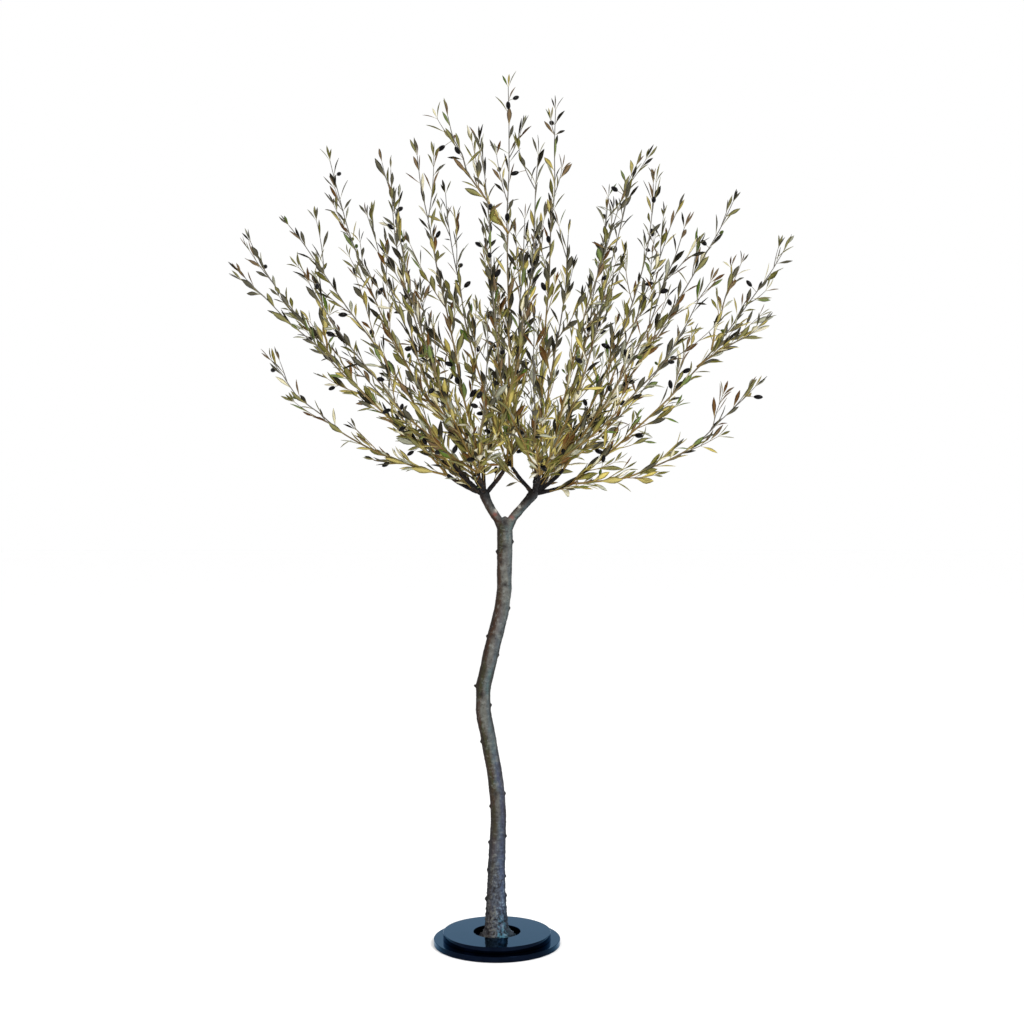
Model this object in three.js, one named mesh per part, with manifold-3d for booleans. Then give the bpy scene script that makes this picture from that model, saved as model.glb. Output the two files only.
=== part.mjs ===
// An artificial olive tree on a two-disc stand, in millimetres, with +Z up.
// The origin is the centre of the stand's underside; +X is to the tree's right and -Y is its front.
// A crooked trunk stands in the hole of the upper disc and forks into two boughs. Each bough ends in a
// knuckle that carries short limbs, and every limb carries long leafy shoots. A shoot's foliage is one
// uneven, closed plume, so the crown is a fan of plumes with open air between their tips.
import * as THREE from "three";
import { mergeVertices } from "three/addons/utils/BufferGeometryUtils.js";
import Module from "manifold-3d";

const wasm = await Module();
wasm.setup();

const GAP = 0.3; // clearance between pieces that touch

// ---- driving dimensions -------------------------------------------------------------------------

const PLATE = { radius: 175, thickness: 15, facets: 48 };
const RING = { radius: 149, hole: 65, thickness: 18, facets: 24 };

const TRUNK = {
  radius: 21, // over most of its height
  footFlare: 23, // what the plaster skirt adds right at the foot
  footDecay: 10,
  buttFlare: 14, // what the butt adds above it
  buttDecay: 130,
  crotchSwell: 3.5, // what the fork adds at the top
  crotchDecay: 30,
  domeHeight: 32, // the rounded top between the two boughs
  sides: 12,
  rings: 23,
};
// The trunk's crooks: its centre line swings left at mid height and back right below the fork.
const TRUNK_LINE = [
  [-1, 0, PLATE.thickness],
  [-2, 3, 190],
  [3, 8, 390],
  [-20, 3, 545],
  [-41, -6, 680],
  [-13, -10, 820],
  [17, -3, 945],
  [21, 2, 1060],
  [22, 0, 1180],
];

// Each bough starts inside the fork and ends in its knuckle.
const BOUGH = {
  rootRadius: 14.5,
  radius: 12.6,
  knuckleSwell: 3,
  knuckleAt: 0.9, // the share of the bough's length where its knuckle is thickest
  knuckleSpread: 0.12,
  sides: 8,
  rings: 10,
};
const FORK = [22, 0, 1150];
const BOUGHS = {
  left: { elbow: [-25, 3, 1204], end: [-39, 0, 1256] },
  right: { elbow: [66, -3, 1206], end: [113, 0, 1257] },
};

// Limbs: end is side, depth and rise from the bough's end, and tip the radius there.
// shootsFrom and shootStep place the shoots along a limb, from its tip back, as shares of its length.
const LIMB = { rootRadius: 7.2, bow: 0.05, shootsFrom: 0.97, shootStep: 0.16, sides: 6, rings: 3 };
const LIMBS = {
  left_low: { bough: "left", end: [-100, 10, 42], tip: 5.2 },
  left_mid: { bough: "left", end: [-83, -16, 72], tip: 5.8 },
  left_top: { bough: "left", end: [0, 20, 76], tip: 5.4 },
  left_inner: { bough: "left", end: [69, -10, 72], tip: 5.8 },
  left_front: { bough: "left", end: [-12, -72, 46], tip: 5.2 },
  left_back: { bough: "left", end: [-26, 74, 42], tip: 5.2 },
  right_inner: { bough: "right", end: [-72, -12, 62], tip: 4.6 },
  right_top: { bough: "right", end: [-4, 20, 70], tip: 5.2 },
  right_stub: { bough: "right", end: [32, -22, 52], tip: 5.4 },
  right_mid: { bough: "right", end: [72, 16, 56], tip: 5.4 },
  right_low: { bough: "right", end: [90, -8, 16], tip: 4.6 },
  right_front: { bough: "right", end: [4, -74, 40], tip: 5.2 },
  right_back: { bough: "right", end: [18, 74, 40], tip: 5.2 },
};

// The shoots that make the crown's outline. tip is side, depth and rise from the bough's end; bow is how
// far the shoot hangs out from the straight line at its middle, as a share of its length (negative arches).
// A side shoot leaves its parent shoot at the share of its length given by from.
const OUTLINE_SHOOTS = [
  { name: "left_low_1", limb: "left_low", tip: [-614, 60, 391], bow: 0.1 },
  { name: "left_low_2", limb: "left_low", tip: [-680, -90, 585], bow: -0.01 },
  { name: "left_mid_1", limb: "left_mid", tip: [-677, 110, 738], bow: 0.07 },
  { name: "left_mid_2", limb: "left_mid", tip: [-541, -130, 734], bow: -0.02 },
  { name: "left_top_1", limb: "left_top", tip: [-173, -190, 914], bow: 0.03 },
  { name: "left_top_2", limb: "left_top", tip: [-266, 130, 954], bow: 0.08 },
  { name: "left_top_3", limb: "left_top", tip: [-455, 190, 990], bow: 0.06 },
  { name: "left_top_4", limb: "left_top", tip: [-314, -170, 757], bow: 0.05 },
  { name: "left_inner_1", limb: "left_inner", tip: [70, -40, 1139], bow: 0 },
  { name: "left_inner_2", limb: "left_inner", tip: [-116, 230, 905], bow: 0.03 },
  { name: "right_inner_1", limb: "right_inner", tip: [-37, -200, 744], bow: 0.02 },
  { name: "right_inner_2", limb: "right_inner", tip: [-124, 210, 672], bow: 0.04 },
  { name: "right_top_1", limb: "right_top", tip: [52, 60, 1104], bow: 0.01 },
  { name: "right_top_2", limb: "right_top", tip: [76, -250, 692], bow: 0.05 },
  { name: "right_top_3", limb: "right_top", tip: [213, 230, 896], bow: 0.06 },
  { name: "right_stub_1", limb: "right_stub", tip: [294, 90, 946], bow: -0.03 },
  { name: "right_stub_2", limb: "right_stub", tip: [304, -150, 848], bow: 0.09 },
  { name: "right_stub_3", limb: "right_stub", tip: [385, -250, 708], bow: 0.07 },
  { name: "right_mid_1", limb: "right_mid", tip: [426, 220, 855], bow: 0.03 },
  { name: "right_mid_2", limb: "right_mid", tip: [545, -60, 815], bow: 0.03 },
  { name: "right_low_1", limb: "right_low", tip: [723, 80, 723], bow: 0.05 },
  { name: "right_low_2", limb: "right_low", tip: [587, -70, 302], bow: 0.14 },
  { name: "left_mid_1_side", parent: "left_mid_1", from: 0.52, tip: [-477, 150, 691], bow: 0.03 },
  { name: "left_inner_1_side", parent: "left_inner_1", from: 0.62, tip: [-100, -60, 1054], bow: 0.1 },
  { name: "right_low_1_side_1", parent: "right_low_1", from: 0.54, tip: [643, -60, 480], bow: 0.05 },
  { name: "right_low_1_side_2", parent: "right_low_1", from: 0.58, tip: [558, 150, 673], bow: 0.05 },
];

// The shoots that fill the crown from front to back: a fan of four from each front and back limb.
const FAN = {
  tips: [
    { outward: 450, depth: 330, rise: 550 },
    { outward: 210, depth: 545, rise: 715 },
    { outward: -20, depth: 640, rise: 410 },
    { outward: -150, depth: 370, rise: 870 },
  ],
  bow: 0.07,
  backStretch: 1.03, // the back fan reaches a little further and less high
  backDrop: 0.95,
};

// A shoot's plume: thin where it leaves the limb, fullest at mid height, and pointed at its tip.
const PLUME = {
  rootRadius: 4,
  leastRadius: 1.2, // however little room its neighbours leave
  fullRadius: 50,
  sideRadius: 34, // of a side shoot
  tipRadius: 13, // just short of the tip
  endRadius: 0.6, // at the very tip
  fullest: 0.55, // the share of its length where it is fullest
  variety: 0.15, // how much the size and the place of the fullest part differ from plume to plume
  lumps: 0.28, // unevenness, as a share of the radius
  sides: 7,
  rings: 8,
  apart: 1.1, // clearance between neighbouring plumes
  shyness: 0.9, // the share of the free space between two shoots that plumes take up
};
const SAMPLES = 40; // points along each shoot's line where neighbours measure their distance
const COLOURS = { stand: 0x1b2a3c, bark: 0x5b5850, limb: 0x33302c, foliage: 0x77703f };

// ---- solids and meshes --------------------------------------------------------------------------

function toSolid(geometry) {
  return new wasm.Manifold(
    new wasm.Mesh({
      numProp: 3,
      vertProperties: geometry.getAttribute("position").array,
      triVerts: new Uint32Array(geometry.index.array),
    }),
  );
}

function toGeometry(solid) {
  const { vertProperties, triVerts } = solid.getMesh();
  return new THREE.BufferGeometry()
    .setAttribute("position", new THREE.BufferAttribute(vertProperties, 3))
    .setIndex(new THREE.BufferAttribute(triVerts, 1));
}

function weld(geometry) {
  geometry.deleteAttribute("normal");
  geometry.deleteAttribute("uv");
  return mergeVertices(geometry);
}

// A closed tube along a curve. reach(share, facing, centre) gives the radius at each of its points, and
// swell makes every face stand that much further out, for cutting a neighbour with clearance.
function sweep(curve, { sides, rings }, reach, swell = 0) {
  const frames = curve.computeFrenetFrames(rings);
  const tube = weld(new THREE.CylinderGeometry(1, 1, 1, sides, rings));
  const corners = tube.getAttribute("position");
  const facing = new THREE.Vector3();
  for (let i = 0; i < corners.count; i++) {
    const ring = Math.round((corners.getY(i) + 0.5) * rings);
    const centre = curve.getPointAt(ring / rings);
    facing.copy(frames.normals[ring]).multiplyScalar(corners.getX(i));
    facing.addScaledVector(frames.binormals[ring], -corners.getZ(i));
    const onAxis = facing.lengthSq() < 0.5;
    const radius = onAxis ? 0 : reach(ring / rings, facing, centre) + swell;
    const endwise = ring === 0 ? -swell : ring === rings ? swell : 0;
    centre.addScaledVector(frames.tangents[ring], endwise).addScaledVector(facing, radius);
    corners.setXYZ(i, centre.x, centre.y, centre.z);
  }
  return toSolid(tube);
}

function largest(solid) {
  return solid.decompose().reduce((a, b) => (b.volume() > a.volume() ? b : a));
}

function point([x, y, z]) {
  return new THREE.Vector3(x, y, z);
}

const tree = new THREE.Group();

function addNode(name, geometry, color, { roughness = 0.7, metalness = 0 } = {}) {
  const mesh = new THREE.Mesh(geometry, new THREE.MeshStandardMaterial({ color, roughness, metalness }));
  mesh.name = name;
  tree.add(mesh);
  return mesh;
}

// ---- stand --------------------------------------------------------------------------------------

function makePlate() {
  const disc = new THREE.CylinderGeometry(PLATE.radius, PLATE.radius, PLATE.thickness, PLATE.facets);
  const mesh = addNode("stand_plate", weld(disc), COLOURS.stand, { roughness: 0.15 });
  mesh.rotation.x = Math.PI / 2;
  mesh.position.z = PLATE.thickness / 2;
}

function makeRing() {
  const outline = new THREE.Shape().absarc(0, 0, RING.radius, 0, 2 * Math.PI);
  outline.holes.push(new THREE.Path().absarc(0, 0, RING.hole, 0, 2 * Math.PI, true));
  const ring = new THREE.ExtrudeGeometry(outline, {
    depth: RING.thickness - GAP,
    bevelEnabled: false,
    curveSegments: RING.facets,
  });
  addNode("stand_ring", weld(ring), COLOURS.stand, { roughness: 0.15 }).position.z =
    PLATE.thickness + GAP;
}

// ---- trunk, boughs and limbs --------------------------------------------------------------------

function trunkRadius(height) {
  const up = height - PLATE.thickness;
  const down = TRUNK_LINE.at(-1)[2] - height;
  const dome = Math.max(0, 1 - down / TRUNK.domeHeight);
  return (
    (TRUNK.radius +
      TRUNK.footFlare * Math.exp(-up / TRUNK.footDecay) +
      TRUNK.buttFlare * Math.exp(-up / TRUNK.buttDecay) +
      TRUNK.crotchSwell * Math.exp(-down / TRUNK.crotchDecay)) *
    Math.sqrt(Math.max(0.04, 1 - dome ** 2))
  );
}

// The trunk's curve, with its rings crowded towards the flared foot and the rounded top.
class TrunkCurve extends THREE.Curve {
  constructor() {
    super();
    this.line = new THREE.CatmullRomCurve3(TRUNK_LINE.map(point));
  }
  getPointAt(share, target) {
    return this.line.getPointAt(THREE.MathUtils.smoothstep(share, 0, 1), target);
  }
  getTangentAt(share, target) {
    return this.line.getTangentAt(THREE.MathUtils.smoothstep(share, 0, 1), target);
  }
}

function makeTrunk() {
  const line = new TrunkCurve();
  const reach = (share, facing, centre) => trunkRadius(centre.z);
  const foot = PLATE.thickness + GAP;
  const room = 2 * TRUNK_LINE.at(-1)[2];
  const block = new THREE.BoxGeometry(room, room, room).translate(0, 0, foot + room / 2);
  const solid = sweep(line, TRUNK, reach).intersect(toSolid(weld(block))); // a flat cut at the foot
  return { solid, swollen: sweep(line, TRUNK, reach, GAP) };
}

function makeBough({ elbow, end }, trunk) {
  const line = new THREE.QuadraticBezierCurve3(point(FORK), point(elbow), point(end));
  const reach = (share) => {
    const past = Math.max(0, share - BOUGH.knuckleAt);
    const shaft = THREE.MathUtils.lerp(BOUGH.rootRadius, BOUGH.radius, Math.min(1, 2 * share));
    const knuckle = BOUGH.knuckleSwell * Math.exp(-(((share - BOUGH.knuckleAt) / BOUGH.knuckleSpread) ** 2));
    return (shaft + knuckle) * Math.sqrt(1 - (past / BOUGH.knuckleSpread) ** 2);
  };
  const solid = largest(sweep(line, BOUGH, reach).subtract(trunk.swollen));
  return { solid, swollen: sweep(line, BOUGH, reach, GAP), end: point(end), line };
}

function makeLimb({ end, tip }, bough, earlier) {
  const start = bough.line.getPointAt(BOUGH.knuckleAt);
  const finish = bough.end.clone().add(point(end));
  const line = bowedLine(start, finish, LIMB.bow);
  const reach = (share) => THREE.MathUtils.lerp(LIMB.rootRadius, tip, share);
  let solid = sweep(line, LIMB, reach).subtract(bough.swollen);
  for (const other of earlier) {
    solid = solid.subtract(other.swollen);
  }
  return { solid: largest(solid), swollen: sweep(line, LIMB, reach, GAP), line };
}

// ---- foliage ------------------------------------------------------------------------------------

function fanShoots() {
  const shoots = [];
  for (const [side, sideways] of Object.entries({ left: -1, right: 1 })) {
    for (const [face, toward, stretch, drop] of [
      ["front", -1, 1, 1],
      ["back", 1, FAN.backStretch, FAN.backDrop],
    ]) {
      FAN.tips.forEach(({ outward, depth, rise }, i) => {
        const tip = [sideways * outward * stretch, toward * depth * stretch, rise * drop];
        shoots.push({ name: `${side}_${face}_${i + 1}`, limb: `${side}_${face}`, tip, bow: FAN.bow });
      });
    }
  }
  return shoots;
}

// A quadratic curve whose middle stands off the straight line by bow, square to it, away from the sky.
function bowedLine(start, tip, bow) {
  const chord = tip.clone().sub(start);
  const skyward = new THREE.Vector3(0, 0, 1).projectOnPlane(chord.clone().normalize()).normalize();
  const middle = start.clone().lerp(tip, 0.5).addScaledVector(skyward, -2 * bow * chord.length());
  return new THREE.QuadraticBezierCurve3(start, middle, tip);
}

// A shoot's centre line runs from its limb, or from its parent shoot, to its tip.
function layShoots(limbs, boughs) {
  const shoots = [];
  const taken = {}; // how many shoots each limb carries so far
  for (const plan of [...OUTLINE_SHOOTS, ...fanShoots()]) {
    const parent = shoots.find((s) => s.name === plan.parent);
    const limb = plan.limb ?? parent.limb;
    const bough = boughs[LIMBS[limb].bough];
    let start;
    if (parent) {
      start = parent.line.getPointAt(plan.from);
    } else {
      taken[limb] = (taken[limb] ?? 0) + 1;
      start = limbs[limb].line.getPointAt(LIMB.shootsFrom - LIMB.shootStep * (taken[limb] - 1));
    }
    const tip = bough.end.clone().add(point(plan.tip));
    const line = bowedLine(start, tip, plan.bow);
    shoots.push({ ...plan, limb, parent, line, samples: line.getSpacedPoints(SAMPLES) });
  }
  return shoots;
}

function plumeRadius(shoot, index, share) {
  const plain = shoot.parent ? PLUME.sideRadius : PLUME.fullRadius;
  const full = plain * (1 + PLUME.variety * Math.sin(5 * index));
  const fullest = PLUME.fullest * (1 + PLUME.variety * Math.sin(3 * index));
  const swelling = Math.sin((Math.PI / 2) * Math.min(1, share / fullest)) ** 1.2;
  const tapering = Math.max(0, (share - fullest) / (1 - fullest));
  const body = THREE.MathUtils.lerp(PLUME.rootRadius, full, swelling);
  return share === 1 ? PLUME.endRadius : THREE.MathUtils.lerp(body, PLUME.tipRadius, tapering ** 1.4);
}

// Lumps that differ from plume to plume, from three waves round and along it.
function lumpiness(index, share, facing) {
  const turn = Math.atan2(facing.y, facing.x);
  return (
    0.5 * Math.sin(3 * turn + 2.1 * index + 7 * share) +
    0.3 * Math.sin(2 * turn - 1.3 * index + 15 * share) +
    0.2 * Math.sin(5 * turn + 0.7 * index - 23 * share)
  );
}

// How far a plume may reach from a point of its own line before it meets the middle plane to a neighbour.
function room(centre, facing, shoot, shoots) {
  let free = Infinity;
  for (const other of shoots) {
    if (other === shoot || other === shoot.parent || other.parent === shoot) continue;
    let nearest = other.samples[0];
    for (const sample of other.samples) {
      if (sample.distanceToSquared(centre) < nearest.distanceToSquared(centre)) nearest = sample;
    }
    const way = nearest.clone().sub(centre);
    const distance = way.length();
    const towards = facing.dot(way) / distance;
    if (towards > 0.05) free = Math.min(free, (PLUME.shyness * distance - PLUME.apart) / 2 / towards);
  }
  return Math.max(free, PLUME.leastRadius);
}

function makePlume(shoot, index, shoots, limbs, done) {
  const reachFor = (swell) => (share, facing, centre) => {
    const own = plumeRadius(shoot, index, share) * (1 + PLUME.lumps * lumpiness(index, share, facing));
    return Math.min(own, room(centre, facing, shoot, shoots)) + swell;
  };
  let solid = sweep(shoot.line, PLUME, reachFor(0));
  for (const limb of Object.values(limbs)) {
    if (solid.intersect(limb.swollen).volume() > 0) solid = solid.subtract(limb.swollen);
  }
  for (const other of done) {
    if (other.shoot === shoot.parent || solid.intersect(other.solid).volume() > 0) {
      solid = solid.subtract(other.swollen);
    }
  }
  return { shoot, solid: largest(solid), swollen: sweep(shoot.line, PLUME, reachFor(2 * GAP), GAP) };
}

// ---- the tree -----------------------------------------------------------------------------------

makePlate();
makeRing();

const trunk = makeTrunk();
addNode("trunk", toGeometry(trunk.solid), COLOURS.bark);

const boughs = {};
for (const [side, plan] of Object.entries(BOUGHS)) {
  const bough = makeBough(plan, trunk);
  for (const other of Object.values(boughs)) bough.solid = largest(bough.solid.subtract(other.swollen));
  boughs[side] = bough;
  addNode(`bough_${side}`, toGeometry(bough.solid), COLOURS.bark);
}

const limbs = {};
for (const [name, plan] of Object.entries(LIMBS)) {
  limbs[name] = makeLimb(plan, boughs[plan.bough], Object.values(limbs));
  addNode(`limb_${name}`, toGeometry(limbs[name].solid), COLOURS.limb);
}

const shoots = layShoots(limbs, boughs);
const plumes = [];
shoots.forEach((shoot, index) => {
  const plume = makePlume(shoot, index, shoots, limbs, plumes);
  plumes.push(plume);
  addNode(`foliage_${shoot.name}`, toGeometry(plume.solid), COLOURS.foliage, { roughness: 0.85 });
});

export default tree;
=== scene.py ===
"""Looks for an artificial olive tree: a lacquered stand, a crooked weathered trunk and an open crown."""

import math
from functools import lru_cache

import bpy
import numpy as np
from bpy.props import FloatProperty, FloatVectorProperty, IntProperty, PointerProperty
from bpy.types import Operator, Panel, PropertyGroup
from mathutils import Euler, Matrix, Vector


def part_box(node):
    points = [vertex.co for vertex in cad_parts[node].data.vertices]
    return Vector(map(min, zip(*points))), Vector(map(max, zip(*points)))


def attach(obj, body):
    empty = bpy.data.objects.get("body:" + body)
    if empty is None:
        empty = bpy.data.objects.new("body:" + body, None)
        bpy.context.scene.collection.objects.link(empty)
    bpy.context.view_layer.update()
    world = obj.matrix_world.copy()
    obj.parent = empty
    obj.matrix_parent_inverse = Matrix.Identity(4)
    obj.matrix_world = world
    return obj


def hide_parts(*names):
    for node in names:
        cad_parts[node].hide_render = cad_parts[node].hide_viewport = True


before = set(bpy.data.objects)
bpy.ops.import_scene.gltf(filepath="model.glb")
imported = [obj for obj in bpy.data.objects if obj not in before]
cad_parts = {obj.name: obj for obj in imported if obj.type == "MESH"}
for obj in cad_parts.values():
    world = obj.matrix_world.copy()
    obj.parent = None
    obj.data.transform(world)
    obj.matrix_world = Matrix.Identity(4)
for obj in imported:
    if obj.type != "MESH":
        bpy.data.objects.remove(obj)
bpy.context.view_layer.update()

bl_info = {
    "name": "Olive Tree",
    "version": (1, 0, 0),
    "blender": (4, 5, 0),
    "location": "View3D > Sidebar > Olive Tree",
    "description": "Models an artificial olive tree and its stand round a fixed frame",
    "category": "Add Mesh",
}

FOLIAGE_NODES = sorted(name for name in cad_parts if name.startswith("foliage_"))
LIMB_NODES = sorted(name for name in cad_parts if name.startswith("limb_"))
BOUGH_NODES = ["bough_left", "bough_right"]
WORLD_UP = np.array([0.0, 0.0, 1.0])


def srgb(red, green, blue):
    """A colour from 0 to 255 a channel, as the linear values that shaders take."""
    shares = (channel / 255 for channel in (red, green, blue))
    return tuple(s / 12.92 if s <= 0.04045 else ((s + 0.055) / 1.055) ** 2.4 for s in shares)


def tint(name, description, *channels):
    colour = srgb(*channels)
    return FloatVectorProperty(
        name=name, description=description, subtype="COLOR", size=3, min=0, max=1, default=colour
    )


def size(name, description, default):
    return FloatProperty(
        name=name, description=description, default=default, min=0, unit="LENGTH", precision=4
    )


def share(name, description, default):
    return FloatProperty(name=name, description=description, default=default, min=0, max=1, subtype="FACTOR")


# ---- settings ------------------------------------------------------------------------------------


class StandSettings(PropertyGroup):
    edge: size("Edge rounding", "Radius of the discs' rounded edges", 0.0012)
    lacquer: tint("Lacquer", "The lacquer seen straight on", 8, 14, 26)
    sheen: tint("Sheen", "What the lacquer mirrors at a low angle", 203, 226, 250)
    gloss: share("Roughness", "How blurred the lacquer's reflections are", 0.06)


class BarkSettings(PropertyGroup):
    voxel: size("Mesh size", "Size of the faces of the trunk's mesh", 0.0018)
    limb_voxel: size("Limb mesh size", "Size of the faces of the limbs' mesh", 0.0015)
    grey: tint("Grey bark", "Main colour of the trunk", 91, 92, 86)
    brown: tint("Brown bark", "Streaks on the trunk's left", 56, 38, 24)
    moss: tint("Moss", "Olive streaks on the trunk's left", 52, 53, 31)
    slate: tint("Slate", "Blue-grey patches on the trunk's right", 66, 80, 86)
    verdigris: tint("Verdigris", "Green-blue stain low on the right", 78, 144, 156)
    # the painted highlight on the tops of the foot's ridges
    ridge_highlight: tint("Ridges", "Tops of the ridges at the foot", 122, 142, 158)
    # Hollows also gives the painted shade in the foot's hollows
    hollow: tint("Hollows", "Cracks and scars", 26, 22, 21)
    dark: tint("Dark bark", "The boughs' upper ends and the limbs", 17, 15, 17)


class CrownSettings(PropertyGroup):
    seed: IntProperty(name="Seed", description="Starts the branching rule's random numbers", default=80)
    leaf_length: size("Leaf length", "Length of a full-grown leaf with its stalk", 0.053)
    leaf_width: size("Leaf width", "Width of a slim leaf", 0.0092)
    broad_leaf: size("Broad leaf", "Width of a broad leaf", 0.0165)
    inner_step: size("Inner leaf spacing", "Distance between leaves at the root of a shoot", 0.0215)
    outer_step: size("Outer leaf spacing", "Distance between leaves at the tip of a shoot", 0.033)
    twig_step: size("Twig spacing", "Distance between twigs along a shoot", 0.105)
    twig_length: size("Twig length", "Length of a twig from a shoot's middle", 0.115)
    stem_radius: size("Shoot radius", "Radius of a shoot where it leaves its limb", 0.0034)
    olive_share: share("Olives", "Share of the leaf places that carry an olive", 0.085)


class LeafColours(PropertyGroup):
    deep: tint("Deep", "Dark grey-green leaves", 36, 33, 20)
    olive: tint("Olive", "Dusty olive leaves", 107, 104, 48)
    golden: tint("Golden", "Golden olive leaves", 170, 156, 84)
    rust: tint("Rust", "Brown leaves", 96, 66, 29)
    silver: tint("Silver", "Grey leaves", 158, 160, 142)
    cream: tint("Cream", "Pale leaves", 252, 242, 188)
    fresh: tint("Fresh", "Green leaves", 84, 106, 36)
    stalk: tint("Stalk", "Yellow at the leaves' stalks", 180, 165, 98)
    underside: tint("Underside", "What the backs of the leaves fade towards", 150, 146, 122)


class StudioSettings(PropertyGroup):
    distance: size("Camera distance", "From the trunk to the camera", 3.948)
    sideways: size("Camera offset", "How far right of the trunk's foot the camera stands", 0.0415)
    eye_level: size("Camera height", "Height of the camera above the floor", 1.194)
    lens: FloatProperty(name="Lens", description="Focal length", default=50.1, unit="CAMERA")
    backdrop: tint("Backdrop", "Colour of the light all round", 255, 255, 255)
    floor: tint("Floor", "Colour of the floor", 255, 255, 255)


# ---- reading the frame ---------------------------------------------------------------------------


def read_rows(items, key, number=float):
    """What each of a mesh's items holds under a key, three numbers to a row."""
    values = np.empty(len(items) * 3, dtype=number)
    items.foreach_get(key, values)
    return values.reshape(-1, 3)


def corner_array(mesh):
    return read_rows(mesh.vertices, "co")


def node_mesh(name):
    """A CAD node's corners, and its triangles as rows of three corner numbers."""
    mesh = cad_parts[name].data
    mesh.calc_loop_triangles()
    return corner_array(mesh), read_rows(mesh.loop_triangles, "vertices", np.int64)


def farthest_corner(name, origin):
    corners, _ = node_mesh(name)
    return corners[np.argmax(np.linalg.norm(corners - origin, axis=1))]


def sections(name, start, end, shares):
    """Where planes square to the line from start to end cut a node: their centres and mean radii."""
    corners, triangles = node_mesh(name)
    along = (end - start) / np.linalg.norm(end - start)
    heights = (corners - start) @ along
    centres, radii = [], []
    for level in np.asarray(shares) * np.linalg.norm(end - start):
        crossings = []
        for a, b in ((0, 1), (1, 2), (2, 0)):
            low, high = heights[triangles[:, a]] - level, heights[triangles[:, b]] - level
            cut = low * high < 0
            part = (low[cut] / (low[cut] - high[cut]))[:, None]
            crossings.append(corners[triangles[cut, a]] * (1 - part) + corners[triangles[cut, b]] * part)
        outline = np.concatenate(crossings)
        if len(outline) < 3:
            continue
        centre = (outline.min(axis=0) + outline.max(axis=0)) / 2
        centres.append(centre)
        radii.append(np.linalg.norm(outline - centre, axis=1).mean())
    return np.array(centres), np.array(radii)


FORK_RINGS = 8  # how many of the trunk's sections lie in its fork


@lru_cache
def trunk_sections():
    """The trunk's centres and radii, measured closely at its foot and in its fork."""
    low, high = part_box("trunk")
    shares = [(0.0004, 0.05, 12), (0.065, 0.955, 44), (0.965, 0.999, FORK_RINGS)]
    levels = np.concatenate([np.linspace(*part) for part in shares])
    return sections("trunk", np.array([0.0, 0.0, low.z]), np.array([0.0, 0.0, high.z]), levels)


@lru_cache
def bough_sections(name):
    """A bough's centres and radii, from inside the trunk's fork, where it is thick, to its knuckle's end."""
    trunk, trunk_radii = trunk_sections()
    fork = trunk[-FORK_RINGS]
    end = farthest_corner(name, fork)
    centres, radii = sections(name, fork, end, np.linspace(0.30, 0.99, 12))
    shoulder = fork + 0.5 * (centres[0] - fork)
    thick = 0.75 * trunk_radii[-FORK_RINGS]
    return np.vstack([fork, shoulder, centres]), np.concatenate([[thick, 0.95 * thick], radii])


@lru_cache
def limb_sections(name):
    """A limb's centres and radii, from inside its bough's knuckle to its end."""
    knuckle = bough_sections("bough_" + name.split("_")[1])[0][-3]
    end = farthest_corner(name, knuckle)
    centres, radii = sections(name, knuckle, end, np.linspace(0.3, 0.97, 6))
    return np.vstack([knuckle, centres]), np.concatenate([[radii[0]], radii])


def smooth_line(points, count):
    """The points of a smooth curve, one cubic for each axis, that follows a row of points closely."""
    steps = np.linalg.norm(np.diff(points, axis=0), axis=1)
    places = np.concatenate([[0], np.cumsum(steps)]) / steps.sum()
    weights = np.ones(len(places))
    weights[[0, -1]] = 20
    fit = np.polyfit(places, points, 3, w=weights)
    spots = np.linspace(0, 1, count)
    return np.stack([np.polyval(fit[:, side], spots) for side in range(3)], axis=1)


@lru_cache
def shoot_line(name):
    """The line of a foliage mass's shoot, from its limb or parent shoot to its tip, and the mass's radii."""
    parent = name.split("_side")[0]
    if parent == name:
        root = limb_sections(name.replace("foliage_", "limb_").rsplit("_", 1)[0])[0][-1]
    else:
        root = parent_root(name, parent)
    tip = farthest_corner(name, root)
    centres, radii = sections(name, root, tip, np.linspace(0.2, 0.95, 12))
    return smooth_line(np.vstack([root, centres, tip]), 60), radii


def parent_root(name, parent):
    """Where a side shoot leaves its parent: the parent's point that lies best in line behind the mass."""
    line, _ = shoot_line(parent)
    corners, _ = node_mesh(name)
    head = limb_sections(LIMB_NODES[0])[0][0]
    order = np.argsort(np.linalg.norm(corners - head, axis=1))
    foot = corners[order[: len(order) // 8]].mean(axis=0)
    middle = corners.mean(axis=0)
    onward = (middle - foot) / np.linalg.norm(middle - foot)
    behind = foot - line
    gaps = np.linalg.norm(behind, axis=1)
    fitness = (behind / gaps[:, None]) @ onward - 4 * gaps
    return line[np.argmax(fitness)]


# ---- modelling helpers ---------------------------------------------------------------------------


def deselect_all():
    for piece in bpy.context.selected_objects:
        piece.select_set(False)


def activate(piece):
    deselect_all()
    piece.select_set(True)
    bpy.context.view_layer.objects.active = piece


def begin_edit(piece, mode="VERT"):
    activate(piece)
    bpy.ops.object.mode_set(mode="EDIT")
    bpy.ops.mesh.select_mode(type=mode)
    bpy.ops.mesh.select_all(action="DESELECT")


def end_edit():
    bpy.ops.object.mode_set(mode="OBJECT")


def pick_faces(piece, wanted):
    """Selects the faces that wanted says yes to, from edit mode."""
    end_edit()
    for face in piece.data.polygons:
        face.select = wanted(face)
    bpy.ops.object.mode_set(mode="EDIT")


def apply_modifier(piece, kind, **settings):
    activate(piece)
    modifier = piece.modifiers.new(kind.title(), kind)
    for key, value in settings.items():
        setattr(modifier, key, value)
    bpy.ops.object.modifier_apply(modifier=modifier.name)


def set_place(piece):
    """Moves a piece's place, turn and size into its mesh."""
    activate(piece)
    bpy.ops.object.transform_apply(location=True, rotation=True, scale=True)


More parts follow.
